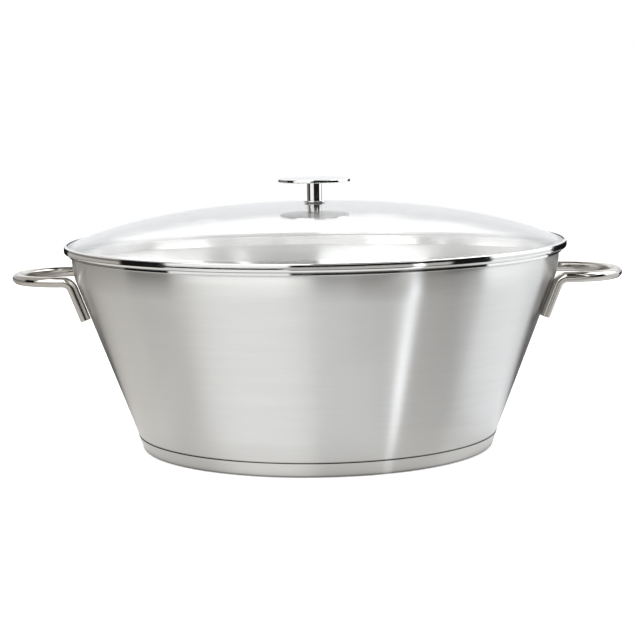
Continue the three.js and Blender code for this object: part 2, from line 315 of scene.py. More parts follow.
def brush_lines(tree, entry, result):
    """Lines that a brush leaves round the pan's axis, fine ones and broad ones, about 0.5."""
    place = put(tree, "ShaderNodeSeparateXYZ", {0: entry["Place"]}).outputs
    level = put(tree, "ShaderNodeCombineXYZ", {0: place["X"], 1: place["Y"]}).outputs[0]
    around = vector_node(tree, "NORMALIZE", level)
    across = math_node(tree, "ADD", place["Z"], vector_node(tree, "LENGTH", level))
    for label, fineness, turns, detail in (("Fine", 1.0, 5.0, 3.0), ("Broad", 0.09, 1.6, 2.0)):
        density = math_node(tree, "MULTIPLY", entry["Lines per metre"], fineness)
        lift = put(tree, "ShaderNodeCombineXYZ", {2: math_node(tree, "MULTIPLY", across, density)})
        swept = vector_node(tree, "MULTIPLY_ADD", around, (turns, turns, turns), lift.outputs[0])
        inputs = {"Vector": swept, "Scale": 1.0, "Detail": detail}
        noise = put(tree, "ShaderNodeTexNoise", inputs)
        tree.links.new(noise.outputs[0], result[label])


def handling_marks(tree, entry, result):
    """Soft smudges of hands and cloths, from 0 to 1."""
    inputs = {
        "Vector": entry["Place"],
        "Scale": entry["Marks per metre"],
        "Detail": 4.0,
        "Roughness": 0.6,
        "Distortion": 0.6,
    }
    noise = put(tree, "ShaderNodeTexNoise", inputs).outputs[0]
    smudge = remap(tree, noise, *SMUDGE_RANGE, 0.0, 1.0, smooth=True)
    tree.links.new(smudge, result["Smudge"])


def hairlines(tree, entry, result):
    """Hair-fine scratches of washing up in two directions, from 0 to 1."""
    masks = []
    for lean in HAIRLINE_LEANS:
        inputs = {"Vector": entry["Place"], "Rotation": lean, "Scale": HAIRLINE_STRETCH}
        turned = put(tree, "ShaderNodeMapping", inputs).outputs[0]
        inputs = {"Vector": turned, "Scale": entry["Lines per metre"]}
        cells = put(tree, "ShaderNodeTexVoronoi", inputs, feature="DISTANCE_TO_EDGE")
        masks.append(remap(tree, cells.outputs["Distance"], 0.0, HAIRLINE_WIDTH, 1.0, 0.0))
    tree.links.new(math_node(tree, "MAXIMUM", *masks), result["Scratch"])


# Shared groups: what builds each, its unit of fineness and its outputs
GROUPS = {
    "Turned brush lines": (brush_lines, "Lines per metre", ("Fine", "Broad")),
    "Handling marks": (handling_marks, "Marks per metre", ("Smudge",)),
    "Hairline scratches": (hairlines, "Lines per metre", ("Scratch",)),
}


def use_group(tree, name, place, fineness):
    """Outputs of a shared group, built once and placed in each material at its own fineness."""
    build, unit, outputs = GROUPS[name]
    group = bpy.data.node_groups.get(name)
    if group is None:
        group = bpy.data.node_groups.new(name, "ShaderNodeTree")
        group.interface.new_socket("Place", in_out="INPUT", socket_type="NodeSocketVector")
        group.interface.new_socket(unit, in_out="INPUT", socket_type="NodeSocketFloat")
        for label in outputs:
            group.interface.new_socket(label, in_out="OUTPUT", socket_type="NodeSocketFloat")
        entry = put(group, "NodeGroupInput").outputs
        build(group, entry, put(group, "NodeGroupOutput").inputs)
    return put(tree, "ShaderNodeGroup", {"Place": place, unit: fineness}, node_tree=group).outputs


def finish(name, build, *values):
    """A finish by its name, built the first time that a piece asks for it."""
    material = bpy.data.materials.get(name)
    if material is None:
        material = bpy.data.materials.new(name)
        material.use_nodes = True
        tree = material.node_tree
        tree.nodes.clear()
        shader = put(tree, "ShaderNodeBsdfPrincipled")
        put(tree, "ShaderNodeOutputMaterial", {"Surface": shader.outputs[0]})
        place = put(tree, "ShaderNodeTexCoord").outputs["Object"]
        feed(tree, shader, build(tree, place, *values))
    return material


# Brush lines, smudges, scratches, dust and grain per metre
SHEET_LINES = 1500.0
SHEET_SMUDGES = 14.0
MIRROR_SMUDGES = 30.0
MIRROR_HAIRLINES = 420.0
GLASS_SMUDGES = 18.0
ALUMINIUM_LINES = 900.0
SILICONE_DUST = 260.0
SILICONE_GRAIN = 4000.0

# Shades between which a colour varies
SHEET_SHADES = (0.97, 1.03)
MIRROR_SHADES = (1.02, 0.97)
GLASS_SHADES = (1.0, 0.985)
ALUMINIUM_SHADES = (0.88, 1.04)
SILICONE_SHADES = (0.95, 1.12)

# Reliefs, as strength and depth in metres
SHEET_RELIEF = (0.012, 0.0002)
MIRROR_RELIEF = (0.03, 0.00005)
ALUMINIUM_RELIEF = (0.1, 0.0002)
SILICONE_RELIEF = (0.2, 0.00005)

# Roughness between clean and smudged, or from line to line
GLASS_ROUGHNESS = (0.005, 0.03)
ALUMINIUM_ROUGHNESS = (0.42, 0.58)
SILICONE_ROUGHNESS = (0.55, 0.7)
# How far the sheet's lines lie off its mean, and what a smudge adds to it
SHEET_SPREAD = 0.02
SHEET_CLOUDING = 0.02
# Share of the sheet's roughness that a full polish leaves
POLISH_LEAVES = 0.3
# What a clean place on mirror steel takes off its mean, and what smudges and scratches add
MIRROR_CLEAN = 0.01
MIRROR_CLOUDING = 0.035
MIRROR_SCRATCHING = 0.04

# Ranges of one set of brush lines, and of the fine and broad ones added up
LINE_RANGE = (0.3, 0.7)
GRAIN_RANGE = (0.7, 1.3)

# Painted shade along the seam, in place of its shadow: its reach below and above the cap's rim,
# its soft edge and its shade, and the polish above which a surface belongs to the inside
SEAM_SHADE_BELOW = 0.0002
SEAM_SHADE_ABOVE = 0.00045
SEAM_SHADE_EDGE = 0.0001
SEAM_SHADE_LEVEL = 0.15
OUTSIDE_POLISH = 0.3

GLASS_INDEX = 1.5


def seam_painted_shade(tree, place, polish):
    """Mask of the shade painted along the fine seam over the base cap."""
    height = put(tree, "ShaderNodeSeparateXYZ", {0: place}).outputs["Z"]
    seam = foot_of("pan_body") + bpy.context.scene.pan_sizes.seam_rise
    line = between(tree, height, seam - SEAM_SHADE_BELOW, seam + SEAM_SHADE_ABOVE, SEAM_SHADE_EDGE)
    outside = math_node(tree, "LESS_THAN", polish, OUTSIDE_POLISH)
    return math_node(tree, "MULTIPLY", line, outside)


def brushed_steel(tree, place, finishes):
    """Satin steel, brushed round the axis, so that every light is drawn out up and down the wall.

    It is smoother where a piece's own polish attribute says so."""
    lines = use_group(tree, "Turned brush lines", place, SHEET_LINES)
    smudge = use_group(tree, "Handling marks", place, SHEET_SMUDGES)["Smudge"]
    polish = put(tree, "ShaderNodeAttribute", attribute_name=POLISH).outputs["Fac"]
    grain = math_node(tree, "ADD", lines["Fine"], lines["Broad"])
    steel = finishes.brushed
    colour = vary(tree, remap(tree, grain, *GRAIN_RANGE, 0.0, 1.0), steel, SHEET_SHADES)
    # Painted shade: the steel goes dark along the seam over the base cap
    colour = blend(tree, seam_painted_shade(tree, place, polish), colour, shade(steel, SEAM_SHADE_LEVEL))
    mean = finishes.brushed_roughness
    satin = remap(tree, grain, *GRAIN_RANGE, mean - SHEET_SPREAD, mean + SHEET_SPREAD)
    roughness = math_node(tree, "MULTIPLY_ADD", smudge, SHEET_CLOUDING, satin)
    left = remap(tree, polish, 0.0, 1.0, 1.0, POLISH_LEAVES)
    return {
        "Base Color": colour,
        "Roughness": math_node(tree, "MULTIPLY", roughness, left),
        "Metallic": 1.0,
        "Anisotropic": 1.0,
        "Anisotropic Rotation": 0.25,
        "Tangent": put(tree, "ShaderNodeTangent", direction_type="RADIAL", axis="Z").outputs[0],
        "Normal": relief(tree, lines["Fine"], *SHEET_RELIEF),
    }


def polished_steel(tree, place, steel, mean):
    """Mirror steel with the faint smudges and hairlines of use."""
    smudge = use_group(tree, "Handling marks", place, MIRROR_SMUDGES)["Smudge"]
    scratch = use_group(tree, "Hairline scratches", place, MIRROR_HAIRLINES)["Scratch"]
    clouded = math_node(tree, "MULTIPLY_ADD", smudge, MIRROR_CLOUDING, mean - MIRROR_CLEAN)
    return {
        "Base Color": vary(tree, smudge, steel, MIRROR_SHADES),
        "Roughness": math_node(tree, "MULTIPLY_ADD", scratch, MIRROR_SCRATCHING, clouded),
        "Metallic": 1.0,
        "Normal": relief(tree, scratch, *MIRROR_RELIEF),
    }


def clear_glass(tree, place, finishes):
    """Clear tempered glass with a trace of smudges."""
    smudge = use_group(tree, "Handling marks", place, GLASS_SMUDGES)["Smudge"]
    return {
        "Base Color": vary(tree, smudge, finishes.glass, GLASS_SHADES),
        "Roughness": remap(tree, smudge, 0.0, 1.0, *GLASS_ROUGHNESS),
        "Metallic": 0.0,
        "IOR": GLASS_INDEX,
        "Transmission Weight": 1.0,
    }


def rolled_aluminium(tree, place, finishes):
    """Raw rolled aluminium with turned marks, dull between them."""
    lines = use_group(tree, "Turned brush lines", place, ALUMINIUM_LINES)
    return {
        "Base Color": vary(tree, lines["Broad"], finishes.aluminium, ALUMINIUM_SHADES),
        "Roughness": remap(tree, lines["Fine"], *LINE_RANGE, *ALUMINIUM_ROUGHNESS),
        "Metallic": 1.0,
        "Normal": relief(tree, lines["Fine"], *ALUMINIUM_RELIEF),
    }


def grey_silicone(tree, place, finishes):
    """Moulded silicone, matt, with the fine grain of its mould and a little dust."""
    dust = use_group(tree, "Handling marks", place, SILICONE_DUST)["Smudge"]
    inputs = {"Vector": place, "Scale": SILICONE_GRAIN, "Detail": 2.0}
    grain = put(tree, "ShaderNodeTexNoise", inputs).outputs[0]
    return {
        "Base Color": vary(tree, dust, finishes.silicone, SILICONE_SHADES),
        "Roughness": remap(tree, dust, 0.0, 1.0, *SILICONE_ROUGHNESS),
        "Normal": relief(tree, grain, *SILICONE_RELIEF),
    }


def round_off(shape, geom, affect, offset, segments=FEWEST_BEND_STEPS):
    """Bends the corners of an outline or the edges of a shape."""
    bmesh.ops.bevel(
        shape,
        geom=geom,
        offset=offset,
        offset_type="OFFSET",
        segments=segments,
        profile=0.5,
        affect=affect,
        material=-1,
    )


def outline(corners, closed=False):
    """Wire outline of a turned piece; a corner is (radius, height) or (radius, height, bend)."""
    shape = bmesh.new()
    points = [Vector((corner[0], 0, corner[1])) for corner in corners]
    verts = [shape.verts.new(point) for point in points]
    count = len(verts)
    for i in range(count if closed else count - 1):
        shape.edges.new((verts[i], verts[(i + 1) % count]))
    for i, corner in enumerate(corners):
        if len(corner) == 3:
            back = points[i - 1] - points[i]
            ahead = points[(i + 1) % count] - points[i]
            half_angle = back.angle(ahead) / 2
            offset = corner[2] / math.tan(half_angle)
            bend_steps = math.ceil((math.pi - 2 * half_angle) / BEND_STEP)
            round_off(shape, [verts[i]], "VERTICES", offset, max(FEWEST_BEND_STEPS, bend_steps))
    return shape


def spin_round(shape, facets):
    """Turns a wire outline all the way round the pan's axis."""
    bmesh.ops.spin(
        shape,
        geom=shape.verts[:] + shape.edges[:],
        cent=(0, 0, 0),
        axis=(0, 0, 1),
        angle=2 * math.pi,
        steps=facets,
        use_merge=True,
    )
    tidy(shape)
    return shape


def tidy(shape):
    """Merges doubles and turns every face outwards."""
    bmesh.ops.remove_doubles(shape, verts=shape.verts[:], dist=MERGE_DISTANCE)
    bmesh.ops.recalc_face_normals(shape, faces=shape.faces[:])


def add_piece(name, shape, material, body, node):
    """A finished piece from a shape, shaded so that flats stay flat beside small bends."""
    normals = []
    for vert in shape.verts:
        weighted = sum((face.normal * face.calc_area() for face in vert.link_faces), Vector())
        normals.append(weighted.normalized())
    for face in shape.faces:
        face.smooth = True
    mesh = bpy.data.meshes.new(name)
    shape.to_mesh(mesh)
    shape.free()
    mesh.normals_split_custom_set_from_vertices(normals)
    mesh.materials.append(material)
    piece = bpy.data.objects.new(name, mesh)
    bpy.context.scene.collection.objects.link(piece)
    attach(piece, body)
    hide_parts(node)


def wall_lean(pan):
    """Angle between the cone's wall and the upright."""
    return math.atan2(pan.neck_radius - pan.floor_radius, pan.height - pan.neck_height)


def foot_of(node):
    """Height of a node's lowest point."""
    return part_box(node)[0].z


def top_of(node):
    """Height of a node's highest point."""
    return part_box(node)[1].z


class PRESERVINGPAN_OT_pan(Operator):
    """Make the drawn pan with its floor, cone, neck and pouring lip"""

    bl_idname = "preserving_pan.pan"
    bl_label = "Pan"

    def execute(self, context):
        pan = context.scene.pan_sizes
        foot = foot_of("pan_body")
        top = foot + pan.height
        lean = wall_lean(pan)
        mouth = pan.neck_radius - pan.wall
        lip = pan.neck_radius + pan.lip_width
        lip_foot = top - pan.lip_thickness
        inner_floor = pan.floor_radius - pan.wall * (1 - math.sin(lean)) / math.cos(lean)
        inner_neck = foot + pan.wall + (mouth - inner_floor) / math.tan(lean)
        corners = [
            (0, foot),
            (pan.floor_radius, foot, pan.floor_bend),
            (pan.neck_radius, top - pan.neck_height, pan.neck_bend),
            (pan.neck_radius, lip_foot, pan.lip_root),
            (lip, lip_foot, pan.lip_edge),
            (lip - pan.lip_lean, top, pan.lip_edge),
            (mouth, top, pan.mouth_edge),
            (mouth, inner_neck, pan.neck_bend - pan.wall),
            (inner_floor, foot + pan.wall, pan.floor_bend - pan.wall),
            (0, foot + pan.wall),
        ]
        shape = spin_round(outline(corners), pan.facets)
        bend_run = (pan.neck_bend - pan.wall) * math.tan(lean / 2)
        bend_foot = inner_neck - bend_run * math.cos(lean)
        finishes = context.scene.pan_finishes
        self.polish_lip_and_inside(shape, lip_foot, bend_foot, finishes.inside_polish)
        steel = finish("Brushed steel", brushed_steel, finishes)
        add_piece("drawn_pan", shape, steel, "pan", "pan_body")
        return {"FINISHED"}

    def polish_lip_and_inside(self, shape, lip_foot, bend_foot, inside_polish):
        """Marks the lip as polished and the inside below the neck as brushed more finely."""
        shape.normal_update()
        polish = shape.verts.layers.float.new(POLISH)
        for vert in shape.verts:
            faces_in = vert.normal.dot(vert.co * Vector((1, 1, 0))) < 0 or vert.normal.z > UPWARD
            if vert.co.z > lip_foot - MERGE_DISTANCE:
                vert[polish] = 1.0
            elif faces_in and vert.co.z < bend_foot + 2 * MERGE_DISTANCE:
                vert[polish] = inside_polish


class PRESERVINGPAN_OT_base(Operator):
    """Make the base cap with its fine seam, and give the core its finish"""

    bl_idname = "preserving_pan.base"
    bl_label = "Base"

    def execute(self, context):
        pan = context.scene.pan_sizes
        finishes = context.scene.pan_finishes
        lean = wall_lean(pan)
        bend_start = pan.floor_radius - pan.floor_bend * math.tan(math.pi / 4 - lean / 2)
        below_centre = pan.floor_bend - pan.seam_rise
        rim_inside = bend_start + math.sqrt(pan.floor_bend**2 - below_centre**2) + pan.seam_gap
        rim = rim_inside + pan.cap_sheet
        rim_height = foot_of("pan_body") + pan.seam_rise
        stand = rim - pan.cap_flare
        corners = [
            (0, 0),
            (stand, 0, pan.cap_bend),
            (rim, rim_height, pan.cap_rim_edge),
            (rim_inside, rim_height, pan.cap_rim_edge),
            (stand - pan.cap_sheet, pan.cap_sheet, pan.cap_bend - pan.cap_sheet),
            (0, pan.cap_sheet),
        ]
        shape = spin_round(outline(corners), pan.facets)
        steel = finish("Brushed steel", brushed_steel, finishes)
        add_piece("base_shell", shape, steel, "pan", "base_cap")
        core = frame["nodes"]["base_core"]
        core.data.materials.clear()
        core.data.materials.append(finish("Rolled aluminium", rolled_aluminium, finishes))
        return {"FINISHED"}


def draw_out(shape, ring, move):
    """Draws a ring of edges out in a straight line and gives the new ring."""
    made = bmesh.ops.extrude_edge_only(shape, edges=ring)["geom"]
    verts = [part for part in made if isinstance(part, bmesh.types.BMVert)]
    bmesh.ops.translate(shape, verts=verts, vec=move)
    moved = set(verts)
    edges = [part for part in made if isinstance(part, bmesh.types.BMEdge)]
    return [edge for edge in edges if moved.issuperset(edge.verts)]


def bend_round(shape, ring, centre, axis, angle):
    """Bends a ring of edges round an axis and gives the last ring."""
    verts = list({vert for edge in ring for vert in edge.verts})
    last = bmesh.ops.spin(
        shape,
        geom=verts + ring,
        cent=centre,
        axis=axis,
        angle=angle,
        steps=math.ceil(abs(angle) / BEND_STEP),
    )["geom_last"]
    return [part for part in last if isinstance(part, bmesh.types.BMEdge)]


class PRESERVINGPAN_OT_handles(Operator):
    """Bend both handles from one rod each, legs down the cone and a level loop"""

    bl_idname = "preserving_pan.handles"
    bl_label = "Handles"

    def execute(self, context):
        pan = context.scene.pan_sizes
        finishes = context.scene.pan_finishes
        look = (finishes.rod, finishes.rod_roughness)
        steel = finish("Polished rod", polished_steel, *look)
        for name, node, turn in (
            ("right_handle_rod", "handle_right", 0),
            ("left_handle_rod", "handle_left", math.pi),
        ):
            shape = self.bent_rod(pan)
            bmesh.ops.rotate(
                shape, verts=shape.verts[:], cent=(0, 0, 0), matrix=Matrix.Rotation(turn, 3, "Z")
            )
            add_piece(name, shape, steel, "pan", node)
        return {"FINISHED"}

    def bent_rod(self, pan):
        """The rod of the handle at +X."""
        foot = foot_of("pan_body")
        lean = wall_lean(pan)
        radius = pan.rod / 2
        leg_y = pan.leg_spacing / 2
        loop_height = foot + pan.height - pan.loop_drop
        off_cone = (radius + pan.weld_gap) / math.cos(lean)

        def on_cone(height):
            reach = pan.floor_radius + (height - foot) * math.tan(lean) + off_cone
            return Vector((math.sqrt(reach**2 - leg_y**2), leg_y, height))

        knee = on_cone(loop_height)
        outward = Vector((1, 0, 0))
        downward = (on_cone(loop_height - pan.leg_length) - knee).normalized()
        turn = math.pi - downward.angle(outward)
        knee_reach = pan.rod_bend * math.tan(turn / 2)
        bend_start = knee + downward * knee_reach
        bend_end = knee + outward * knee_reach
        bend_centre = bend_end - Vector((0, 0, pan.rod_bend))
        leg_foot = bend_start + downward * pan.leg_length
        loop_start = bend_end + outward * pan.rod_straight
        loop_centre = loop_start * Vector((1, 0, 1))
        across = Vector((0, 1, 0))
        other_bend = bend_centre * Vector((1, -1, 1))

        shape = bmesh.new()
        facing = (-downward).to_track_quat("Z", "Y").to_matrix().to_4x4()
        bmesh.ops.create_circle(
            shape,
            radius=radius,
            segments=pan.rod_facets,
            matrix=Matrix.Translation(leg_foot) @ facing,
        )
        ring = shape.edges[:]
        ring = draw_out(shape, ring, bend_start - leg_foot)
        ring = bend_round(shape, ring, bend_centre, across, turn)
        ring = draw_out(shape, ring, loop_start - bend_end)
        ring = bend_round(shape, ring, loop_centre, Vector((0, 0, -1)), math.pi)
        ring = draw_out(shape, ring, bend_end - loop_start)
        ring = bend_round(shape, ring, other_bend, across, -turn)
        ring = draw_out(shape, ring, leg_foot - bend_start)
        cut_ends = bmesh.ops.holes_fill(shape, edges=shape.edges[:], sides=0)["faces"]
        cut_edges = [edge for face in cut_ends for edge in face.edges]
        round_off(shape, cut_edges, "EDGES", pan.leg_end)
        tidy(shape)
        return shape


class LidPlaces:
    """Heights and radii of the lid that follow from its sizes."""

    def __init__(self, scene):
        pan = scene.pan_sizes
        lid = scene.lid_sizes
        knob = scene.knob_sizes
        self.mouth = pan.neck_radius - pan.wall
        self.band = pan.neck_radius + pan.lip_width + lid.band_overhang
        self.glass = self.band - lid.band_sheet - lid.glass_gap
        self.dome = self.glass - lid.band_lip - lid.glass_gap
        self.glass_foot = foot_of("lid_glass")
        self.edge_top = self.glass_foot + lid.glass
        self.dome_top = self.edge_top + lid.dome_rise
        self.seat = self.glass_foot - lid.glass_gap - lid.band_sheet
        self.band_top = self.edge_top + lid.glass_gap + lid.band_sheet
        self.screw_hole = knob.screw + knob.screw_gap
        self.spigot = self.screw_hole + knob.spigot_wall
        self.glass_hole = self.spigot + lid.glass_gap
        self.rise = lid.dome_rise
        self.shoulder = lid.dome_shoulder

    def drop(self, radius):
        """How far the dome has come down at a radius."""
        reach = radius / self.dome
        return self.rise * ((1 - self.shoulder) * reach**2 + self.shoulder * reach**4)


class PRESERVINGPAN_OT_glass(Operator):
    """Make the domed glass with its ground edge and the hole for the knob"""

    bl_idname = "preserving_pan.glass"
    bl_label = "Lid glass"

    def execute(self, context):
        lid = context.scene.lid_sizes
        at = LidPlaces(context.scene)
        hole_drop = at.drop(at.glass_hole)
        hole_top = at.dome_top - hole_drop
        corners = [
            (at.glass_hole, at.dome_top - lid.glass - hole_drop),
            (at.dome, at.glass_foot),
            (at.glass, at.glass_foot, lid.band_foot - lid.band_sheet + lid.glass_gap),
            (at.glass, at.edge_top, lid.glass_edge),
            (at.dome, at.edge_top),
            (at.glass_hole, hole_top),
        ]
        shape = outline(corners, closed=True)
        domed = [edge for edge in shape.edges if edge.calc_length() > at.dome / 2]
        cuts = bmesh.ops.subdivide_edges(shape, edges=domed, cuts=lid.dome_cuts)["geom_inner"]
        for vert in (part for part in cuts if isinstance(part, bmesh.types.BMVert)):
            reach = (vert.co.x - at.glass_hole) / (at.dome - at.glass_hole)
            straight_top = hole_top + reach * (at.edge_top - hole_top)
            under = vert.co.z < straight_top - lid.glass / 2
            vert.co.z = at.dome_top - at.drop(vert.co.x) - (lid.glass if under else 0)
        spin_round(shape, context.scene.pan_sizes.facets)
        glass = finish("Clear glass", clear_glass, context.scene.pan_finishes)
        add_piece("glass_dome", shape, glass, "lid", "lid_glass")
        return {"FINISHED"}


class PRESERVINGPAN_OT_band(Operator):
    """Make the rolled band round the glass, with the skirt that drops into the mouth"""

    bl_idname = "preserving_pan.band"
    bl_label = "Lid band"

    def execute(self, context):
        lid = context.scene.lid_sizes
        finishes = context.scene.pan_finishes
        at = LidPlaces(context.scene)
        sheet = lid.band_sheet
        edge = lid.band_edge
        skirt = at.mouth - lid.skirt_gap
        channel = at.band - sheet
        corners = [
            (skirt - sheet, at.seat - lid.skirt_depth, edge),
            (skirt, at.seat - lid.skirt_depth, edge),
            (skirt, at.seat, edge),
            (at.band, at.seat, lid.band_foot),
            (at.band, at.band_top, lid.band_crown),
            (channel - lid.band_lip, at.band_top, edge),
            (channel - lid.band_lip, at.band_top - sheet, edge),
            (channel, at.band_top - sheet),
            (channel, at.seat + sheet, lid.band_foot - sheet),
            (skirt - sheet, at.seat + sheet, edge),
        ]
        shape = outline(corners, closed=True)
        self.bow_face(shape, at.band, lid)
        spin_round(shape, context.scene.pan_sizes.facets)
        look = (finishes.polished, finishes.polished_roughness)
        steel = finish("Polished steel", polished_steel, *look)
        add_piece("rolled_band", shape, steel, "lid", "lid_band")
        return {"FINISHED"}

    def bow_face(self, shape, radius, lid):
        """Bows the upright outer face a little, as rolling leaves it."""
        face = max(shape.edges, key=lambda edge: min(vert.co.x for vert in edge.verts))
        low, high = sorted(vert.co.z for vert in face.verts)
        bmesh.ops.subdivide_edges(shape, edges=[face], cuts=lid.band_cuts)
        for vert in shape.verts:
            if vert.co.x > radius - MERGE_DISTANCE:
                aside = (2 * vert.co.z - low - high) / (high - low)
                vert.co.x -= lid.band_bow * aside**2


class PRESERVINGPAN_OT_knob(Operator):
    """Make the knob's disc, its turned stem and the thin collar under it"""

    bl_idname = "preserving_pan.knob"
    bl_label = "Knob"

    def execute(self, context):
        knob = context.scene.knob_sizes
        finishes = context.scene.pan_finishes
        at = LidPlaces(context.scene)
        look = (finishes.polished, finishes.polished_roughness)
        steel = finish("Polished steel", polished_steel, *look)
        disc_foot = foot_of("knob_disc")
        disc_top = top_of("knob_disc")
        stem_foot = foot_of("knob_stem")
        collar_foot = foot_of("knob_collar")
        bore_top = disc_foot - knob.stem_wall
        edge = knob.small_edge
        disc = [
            (0, disc_foot),
            (knob.disc, disc_foot, knob.disc_edge),
            (knob.disc, disc_top, knob.disc_edge),
            (0, disc_top),
        ]
        stem = [
            (0, bore_top),
            (at.screw_hole, bore_top, edge),
            (at.screw_hole, stem_foot, edge),
            (knob.stem, stem_foot, edge),
            (knob.stem, disc_foot, edge),
            (0, disc_foot),
        ]
        collar = [
            (at.screw_hole, collar_foot, edge),
            (knob.collar, collar_foot, edge),
            (knob.collar, stem_foot, knob.collar_edge),
            (at.screw_hole, stem_foot, edge),
        ]
        for name, node, corners, closed in (
            ("knob_plate", "knob_disc", disc, False),
            ("knob_post", "knob_stem", stem, False),
            ("knob_ring", "knob_collar", collar, True),
        ):
            shape = spin_round(outline(corners, closed), knob.facets)
            add_piece(name, shape, steel, "lid", node)
        return {"FINISHED"}


class PRESERVINGPAN_OT_knob_seat(Operator):
    """Make the seals, the washer and the socket screw that hold the knob to the glass"""

    bl_idname = "preserving_pan.knob_seat"
    bl_label = "Knob seat"

    def execute(self, context):
        knob = context.scene.knob_sizes
        finishes = context.scene.pan_finishes
        at = LidPlaces(context.scene)
        silicone = finish("Grey silicone", grey_silicone, finishes)
        steel = finish("Brushed steel", brushed_steel, finishes)
        seal_foot = foot_of("knob_upper_seal")
        upper = [
            (at.screw_hole, seal_foot, knob.seal_edge),
            (at.spigot, seal_foot, knob.seal_edge),
            (at.spigot, at.dome_top, knob.seal_edge),
            (knob.seal, at.dome_top, knob.seal_edge),
            (knob.seal, top_of("knob_upper_seal"), knob.seal_edge),
            (at.screw_hole, top_of("knob_upper_seal"), knob.seal_edge),
        ]
        lower = self.ring(at.screw_hole, knob.seal, "knob_lower_seal", knob.seal_edge)
        washer = self.ring(at.screw_hole, knob.washer, "knob_washer", knob.washer_edge)
        for name, node, corners, material, slot in (
            ("upper_gasket", "knob_upper_seal", upper, silicone, "grey_silicone"),
            ("lower_gasket", "knob_lower_seal", lower, silicone, "grey_silicone"),
            ("seat_washer", "knob_washer", washer, steel, "brushed_steel"),
        ):
            shape = spin_round(outline(corners, closed=True), knob.facets)
            add_piece(name, shape, material, "lid", node)
        screw = self.socket_screw(knob)
        add_piece("socket_screw", screw, steel, "lid", "knob_screw")
        return {"FINISHED"}

    def ring(self, inside, outside, node, edge):
        """Corners of a flat ring where a node is."""
        foot = foot_of(node)
        top = top_of(node)
        return [
            (inside, foot, edge),
            (outside, foot, edge),
            (outside, top, edge),
            (inside, top, edge),
        ]

    def socket_screw(self, knob):
        """Shank and round head, with a hexagon socket let in from below."""
        foot = foot_of("knob_screw")
        tip = top_of("knob_screw")
        socket_radius = knob.socket / 2 / math.cos(math.pi / 6)
        corners = [
            (socket_radius * SOCKET_LAND, foot),
            (knob.head, foot, knob.head_bend),
            (knob.head, foot + knob.head_height, knob.small_edge),
            (knob.screw, foot + knob.head_height, knob.small_edge),
            (knob.screw, tip, knob.small_edge),
            (0, tip),
        ]
        shape = spin_round(outline(corners), knob.facets)
        mouth = [edge for edge in shape.edges if edge.is_boundary]
        hexagon = bmesh.ops.create_circle(
            shape, radius=socket_radius, segments=6, matrix=Matrix.Translation((0, 0, foot))
        )["verts"]
        sides = list({edge for vert in hexagon for edge in vert.link_edges})
        bmesh.ops.bridge_loops(shape, edges=mouth + sides)
        deep = draw_out(shape, sides, Vector((0, 0, knob.socket_depth)))
        bmesh.ops.holes_fill(shape, edges=deep, sides=0)
        round_off(shape, sides + deep, "EDGES", knob.socket_edge)
        tidy(shape)
        return shape


# How much faster blue falls than red rises as a light gets warmer
BLUE_FALL = 1.5


def grey(level, warmth=0.0):
    """A level of light, a little warm or cool."""
    return (level * (1 + warmth), level, level * (1 - BLUE_FALL * warmth), 1.0)


def ring_of_light(tree, bearing, stops):
    """Colour round the pan by bearing in degrees."""
    turn = remap(tree, bearing, -180.0, 180.0, 0.0, 1.0)
    ramp = put(tree, "ShaderNodeValToRGB", {0: turn})
    elements = ramp.color_ramp.elements
    elements.remove(elements[-1])
    for i, (degrees, level, warmth) in enumerate(stops):
        place = (degrees + 180) / 360
        element = elements[0] if i == 0 else elements.new(place)
        element.position = place
        element.color = grey(level, warmth)
    return ramp.outputs[0]


def bearing_of(tree, vector):
    """Bearing of a direction in degrees, 0 to the camera and 90 to its right, and its parts."""
    parts = put(tree, "ShaderNodeSeparateXYZ", {0: vector}).outputs
    turn = math_node(tree, "ARCTAN2", parts[0], math_node(tree, "MULTIPLY", parts[1], -1.0))
    return math_node(tree, "DEGREES", turn), parts


def bearing_from(tree, place, centre):
    """Bearing in degrees of a place on the floor, seen from a point."""
    return bearing_of(tree, vector_node(tree, "SUBTRACT", place, centre))[0]


def hang_cards(tree, colour, bearing, height, cards):
    """Hangs soft-edged cards in front of a colour, each one before the last."""
    for middle, half_width, low, high, edge, level, warmth in cards:
        off_middle = math_node(tree, "SUBTRACT", bearing, middle)
        aside = math_node(tree, "WRAP", off_middle, 180.0, -180.0)
        wide = between(tree, aside, -half_width, half_width, CARD_EDGE)
        tall = between(tree, height, low, high, edge)
        colour = blend(tree, math_node(tree, "MULTIPLY", wide, tall), colour, grey(level, warmth))
    return colour


# Studio for the reflections. A card is (bearing of its middle, half its width, its foot, its top,
# how soft these two are, level, warmth). Bearings and widths are in degrees. Foot, top and
# softness are degrees above level for the cards round the pan, and metres from the axis for those
# that show on the floor
CARD_EDGE = 1.2
WHITE = grey(1.0)
DARK_ROOM = grey(0.01, 0.1)
STUDIO_CARDS = (
    (0, 200, 75, 100, 1.5, 0.5, 0),
    (180, 75, -100, 50, 14, 1.5, 0),
    (180, 75, -100, 17, 3, 0.98, -0.015),
    (-105, 43, -100, 4, 1.5, 0.2, 0.06),
    (-105, 43, 4, 70, 1.5, 0.7, 0.03),
    (34, 38, 14, 28, 6, 0.6, 0.03),
    (59, 12, 34, 76, 3, 0.3, 0.03),
    (-39.5, 30.5, -100, 14, 1.5, 1.2, 0),
    (-31, 31, 14, 64, 1.5, 4.0, 0.005),
    (44.5, 3.5, 10, 70, 1.5, 2.5, 0),
    (111, 27, -100, 14, 1.5, 1.5, -0.015),
    (98, 27, 14, 64, 1.5, 4.0, -0.005),
    (-80.5, 13.5, -100, 26, 1.5, 0.01, 0),
    (75.5, 10.5, -100, 26, 1.5, 0.01, 0),
    (-156, 9, -100, 0, 1.5, 0.01, 0),
    (150, 14, -100, 0, 1.5, 0.01, 0),
)
